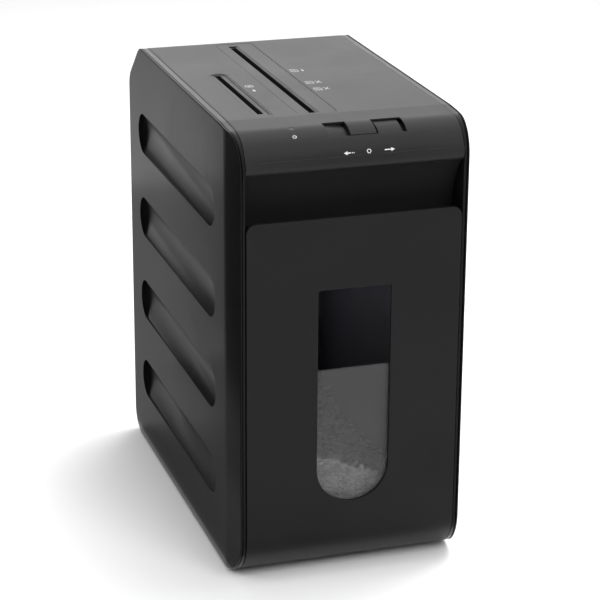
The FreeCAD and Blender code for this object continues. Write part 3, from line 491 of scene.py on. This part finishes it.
def shreds():
    rnd = random.Random(31)
    X0, X1, Y0, Y1, Z0 = -76.5, 76.5, -160.6, 139.5, 7.5 + LIFT
    # the body of the heap
    bm = bmesh.new()
    nx, ny = 46, 86
    top = [[None] * (ny + 1) for _ in range(nx + 1)]
    for i in range(nx + 1):
        for j in range(ny + 1):
            x, y = X0 + (X1 - X0) * i / nx, Y0 + (Y1 - Y0) * j / ny
            z = heap_height(x, y) - 5.0 + rnd.uniform(-2.6, 2.6) + LIFT
            yy = y
            if j == 0:
                yy = y + 0.8
            top[i][j] = bm.verts.new((x / 1000, yy / 1000, z / 1000))
    for i in range(nx):
        for j in range(ny):
            bm.faces.new((top[i][j], top[i + 1][j], top[i + 1][j + 1], top[i][j + 1]))
    nz = 14
    edges = [([top[i][0] for i in range(nx + 1)], 0), ([top[nx][j] for j in range(ny + 1)], 1),
             ([top[i][ny] for i in range(nx, -1, -1)], 2), ([top[0][j] for j in range(ny, -1, -1)], 3)]
    bottoms = []
    for line, side in edges:
        cols = []
        for k, v in enumerate(line):
            col = [v]
            for q in range(1, nz + 1):
                t = q / nz
                z = v.co.z * (1 - t) + (Z0 / 1000) * t
                x, y = v.co.x, v.co.y
                inset = rnd.uniform(0.0, 2.0) / 1000 if 0 < k < len(line) - 1 else 0.0
                y2 = y
                if side == 0:
                    y2 = y + inset
                    # the tub's front lower corner is rounded
                    zz = z * 1000 - LIFT
                    if zz < 34.2:
                        y2 = max(y2, (-133.9 - math.sqrt(max(0.0, 26.4 ** 2 - (34.2 - zz) ** 2))) / 1000)
                elif side == 1:
                    x -= inset
                elif side == 2:
                    y2 = y - inset
                else:
                    x += inset
                if side in (1, 3):
                    zz = z * 1000 - LIFT
                    if zz < 34.2:
                        y2 = max(y2, (-133.9 - math.sqrt(max(0.0, 26.4 ** 2 - (34.2 - zz) ** 2))) / 1000)
                col.append(bm.verts.new((x, y2, z)))
            cols.append(col)
        for a in range(len(cols) - 1):
            for q in range(nz):
                bm.faces.new((cols[a][q], cols[a][q + 1], cols[a + 1][q + 1], cols[a + 1][q]))
        bottoms.append([c[-1] for c in cols])
    bmesh.ops.remove_doubles(bm, verts=bm.verts, dist=2e-5)
    rim = [e for e in bm.edges if e.is_boundary]
    bmesh.ops.contextual_create(bm, geom=rim)
    bmesh.ops.recalc_face_normals(bm, faces=bm.faces)
    me = bpy.data.meshes.new("shred_heap")
    bm.to_mesh(me)
    bm.free()
    ob = bpy.data.objects.new("shred_heap", me)
    bpy.context.scene.collection.objects.link(ob)
    # the heap body is given the shaded paper copy: painted shade under the loose pieces
    me.materials.append(PAPER_B)
    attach(ob, "bin")

    # loose pieces on top of it and against the front wall
    verts, faces, mats = [], [], []

    def chip(c, ax, ay, length, width, curl, twist, mat):
        az = ax.cross(ay).normalized()
        k = 5
        base = len(verts)
        for i in range(k + 1):
            t = i / k - 0.5
            bend = math.sin(t * math.pi * 1.3) * curl
            lift = (math.cos(t * math.pi) - 0.6) * curl
            w = ay * math.cos(twist * t) + az * math.sin(twist * t)
            for s in (-0.5, 0.5):
                q = c + ax * (t * length) + az * lift + ay * bend * 0.3 + w * (s * width)
                verts.append(tuple(v / 1000 for v in q))
        for i in range(k):
            a = base + 2 * i
            faces.append((a, a + 1, a + 3, a + 2))
            mats.append(mat)

    def inside(c):
        return X0 + 1 < c.x < X1 - 1 and Y0 + 1.0 < c.y < Y1 - 1

    def add(c, flat, lean):
        yaw = rnd.uniform(0, 2 * math.pi)
        ax = Vector((math.cos(yaw), math.sin(yaw), rnd.gauss(0, lean))).normalized()
        side = Vector((-math.sin(yaw), math.cos(yaw), rnd.gauss(0, lean)))
        if flat is not None:
            ax = (ax - flat * ax.dot(flat)).normalized()
            side = flat.cross(ax) + flat * rnd.gauss(0, 0.25)
        ay = (side - ax * side.dot(ax)).normalized()
        L, W = rnd.uniform(12.0, 34.0), rnd.uniform(2.8, 4.2)
        ends = [c + ax * (L / 2), c - ax * (L / 2)]
        for e in ends:
            if not inside(e):
                return
        # some pieces take the shaded paper copy: painted shade among the pieces
        chip(c, ax, ay, L, W, rnd.uniform(-3.0, 3.0), rnd.uniform(-1.4, 1.4), 0 if rnd.random() < 0.72 else 1)

    for _ in range(5200):
        x, y = rnd.uniform(X0 + 6, X1 - 6), rnd.uniform(Y0 + 6, Y1 - 6)
        add(Vector((x, y, heap_height(x, y) + LIFT + rnd.uniform(-4.0, 3.5))), None, 0.35)
    for _ in range(2600):
        x = rnd.uniform(-46, 50)
        z = rnd.uniform(40.0, heap_height(x, Y0) - 1.0) + LIFT
        y = Y0 + rnd.uniform(1.4, 4.5)
        ang = rnd.gauss(0.0, 0.9)
        ax = Vector((math.cos(ang), rnd.gauss(0, 0.10), math.sin(ang))).normalized()
        nrm = Vector((rnd.gauss(0, 0.3), -1, rnd.gauss(0, 0.45))).normalized()
        ay = nrm.cross(ax).normalized()
        L, W = rnd.uniform(10.0, 26.0), rnd.uniform(2.6, 4.2)
        c = Vector((x, y, z))
        if all(inside(c + ax * s * L / 2) for s in (1, -1)) and (c + ax * L / 2).z < heap_height(x, Y0) + LIFT + 3:
            # some pieces take the shaded paper copy: painted shade among the pieces
            chip(c, ax, ay, L, W, rnd.uniform(-1.1, 1.1), rnd.uniform(-0.8, 0.8), 0 if rnd.random() < 0.7 else 1)
    me = bpy.data.meshes.new("shred_pieces")
    me.from_pydata(verts, [], faces)
    me.materials.append(PAPER_A)
    me.materials.append(PAPER_B)
    me.polygons.foreach_set("material_index", mats)
    lo = Y0 / 1000 + 0.0002
    for v in me.vertices:
        v.co.y = max(v.co.y, lo)
        v.co.x = max(X0 / 1000, min(X1 / 1000, v.co.x))
    me.update()
    ob2 = bpy.data.objects.new("shred_pieces", me)
    bpy.context.scene.collection.objects.link(ob2)
    so = ob2.modifiers.new("paper_thickness", "SOLIDIFY")
    so.thickness = 0.00012
    for poly in me.polygons:
        poly.use_smooth = True
    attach(ob2, "bin")


shreds()


# ------------------------------------------------------------------ floor, backdrop and light
def stage_mat(name, col, glow=0.0):
    m, nt, b = new_mat(name)
    v = coords(nt)
    n1 = noise(nt, v, 3.0, 3.0, 0.5)
    nt.links.new(mix_col(nt, n1, col, tuple(c * 0.985 for c in col)), b.inputs["Base Color"])
    b.inputs["Roughness"].default_value = 0.9
    b.inputs["Specular IOR Level"].default_value = 0.1
    if glow:
        b.inputs["Emission Color"].default_value = (1, 1, 1, 1)
        b.inputs["Emission Strength"].default_value = glow
    return m


def card(name, corners, col, glossy_only=True):
    """A flat stage card given by its four corners in metres; a reflector or flag that only mirror-like rays meet."""
    me = bpy.data.meshes.new(name)
    me.from_pydata([tuple(c) for c in corners], [], [(0, 1, 2, 3)])
    ob = bpy.data.objects.new(name, me)
    bpy.context.scene.collection.objects.link(ob)
    me.materials.append(stage_mat(name + "_paint", col))
    if glossy_only:
        ob.visible_camera = ob.visible_diffuse = ob.visible_shadow = False
        ob.visible_transmission = ob.visible_volume_scatter = False
    return ob


card("floor", [(-12, -12, 0), (12, -12, 0), (12, 12, 0), (-12, 12, 0)], (0.97, 0.97, 0.97), glossy_only=False)
# flags and cards that only show as reflections in the satin plastic
card("flag_left", [(-0.26, -0.75, 0.0), (-0.26, 0.41, 0.0), (-0.26, 0.41, 1.3), (-0.26, -0.75, 1.3)], (0.0, 0.0, 0.0))
card("table_left_near", [(-1.6, 0.31, 0.003), (-0.099, -0.5, 0.003), (-0.099, 0.62, 0.003), (-1.6, 0.62, 0.003)], (0.21, 0.21, 0.21))
card("table_left", [(-1.6, 0.62, 0.003), (-0.099, 0.62, 0.003), (-0.099, 0.92, 0.003), (-1.6, 0.92, 0.003)], (0.21, 0.21, 0.21))
card("table_left_far", [(-1.6, 0.92, 0.003), (-0.099, 0.92, 0.003), (-0.099, 2.4, 0.003), (-1.6, 2.4, 0.003)], (0.42, 0.42, 0.42))
card("table_left_dark", [(-0.26, -0.75, 0.004), (-0.175, -0.75, 0.004), (-0.175, 0.31, 0.004), (-0.26, 0.31, 0.004)], (0.10, 0.10, 0.10))
card("table_front", [(-4.0, -11.0, 0.004), (6.0, -11.0, 0.004), (1.4, -0.176, 0.004), (-1.2, -0.176, 0.004)], (0.24, 0.24, 0.24))
card("table_right", [(0.14, -0.219, 0.003), (2.6, -0.219, 0.003), (2.6, 1.8, 0.003), (0.14, 1.8, 0.003)], (0.42, 0.42, 0.42))
card("grey_back_left", [(-2.4, 2.41, 0.0), (-0.40, 2.41, 0.0), (-0.40, 2.41, 0.85), (-2.4, 2.41, 0.85)], (0.12, 0.12, 0.12))
card("dark_front", [(0.07, -0.62, 0.17), (0.22, -0.62, 0.17), (0.22, -0.62, 0.75), (0.07, -0.62, 0.75)], (0.02, 0.02, 0.02))
glow = card("sheet_back", [(-0.3, 3.0, 0.05), (2.6, 3.0, 0.05), (2.6, 3.0, 2.2), (-0.3, 3.0, 2.2)], (0.9, 0.9, 0.9))
gb = glow.data.materials[0].node_tree.nodes["Principled BSDF"]
gb.inputs["Emission Color"].default_value = (1, 1, 1, 1)
gb.inputs["Emission Strength"].default_value = 0.50

# studio surroundings: white behind and to the right, dimmer to the left and on the camera's side
world = bpy.data.worlds.new("studio")
bpy.context.scene.world = world
world.use_nodes = True
wn = world.node_tree
wn.nodes.clear()
wc = wn.nodes.new("ShaderNodeTexCoord")
ws = wn.nodes.new("ShaderNodeSeparateXYZ")
wn.links.new(wc.outputs["Generated"], ws.inputs[0])
side = remap(wn, ws.outputs["X"], -0.65, 0.35, 0.30, 1.0)
rear = remap(wn, ws.outputs["Y"], -0.7, 0.5, 0.55, 1.0)
high = remap(wn, ws.outputs["Z"], 0.30, 0.85, 0.0, -0.10)
level = math_node(wn, "ADD", math_node(wn, "MULTIPLY", side, rear), high)
bg = wn.nodes.new("ShaderNodeBackground")
bg.inputs["Color"].default_value = (1.0, 1.0, 1.0, 1)
wn.links.new(level, bg.inputs["Strength"])
wo = wn.nodes.new("ShaderNodeOutputWorld")
wn.links.new(bg.outputs[0], wo.inputs[0])


def area(name, loc, aim, size, power, size_y=None):
    d = bpy.data.lights.new(name, "AREA")
    d.energy = power
    d.size = size
    if size_y:
        d.shape = "RECTANGLE"
        d.size_y = size_y
    o = bpy.data.objects.new(name, d)
    o.location = loc
    o.rotation_euler = (Vector(aim) - Vector(loc)).to_track_quat("-Z", "Y").to_euler()
    bpy.context.scene.collection.objects.link(o)
    o.visible_glossy = False
    return o


area("key_softbox", (0.7, 0.5, 2.3), (0.0, 0, 0.1), 1.4, 50.0)
area("left_fill", (-1.9, -0.4, 1.6), (-0.8, -0.1, 0.0), 1.2, 20.0)
area("front_fill", (0.3, -2.0, 1.9), (0.0, -0.5, 0.0), 1.4, 34.0)
glow_light = area("bin_glow", (0.0, -0.10, 0.205), (-0.03, 0.14, 0.145), 0.05, 0.065)
glow_light.data.spread = 0.75

# a fine rounded edge on the window pane, so that its rim catches the light
pane = bpy.data.objects.get("bin_window")
if pane is not None:
    edge = pane.modifiers.new("soft_edge", "BEVEL")
    edge.width = 0.0006
    edge.segments = 2
    edge.limit_method = "ANGLE"
    edge.angle_limit = 0.6
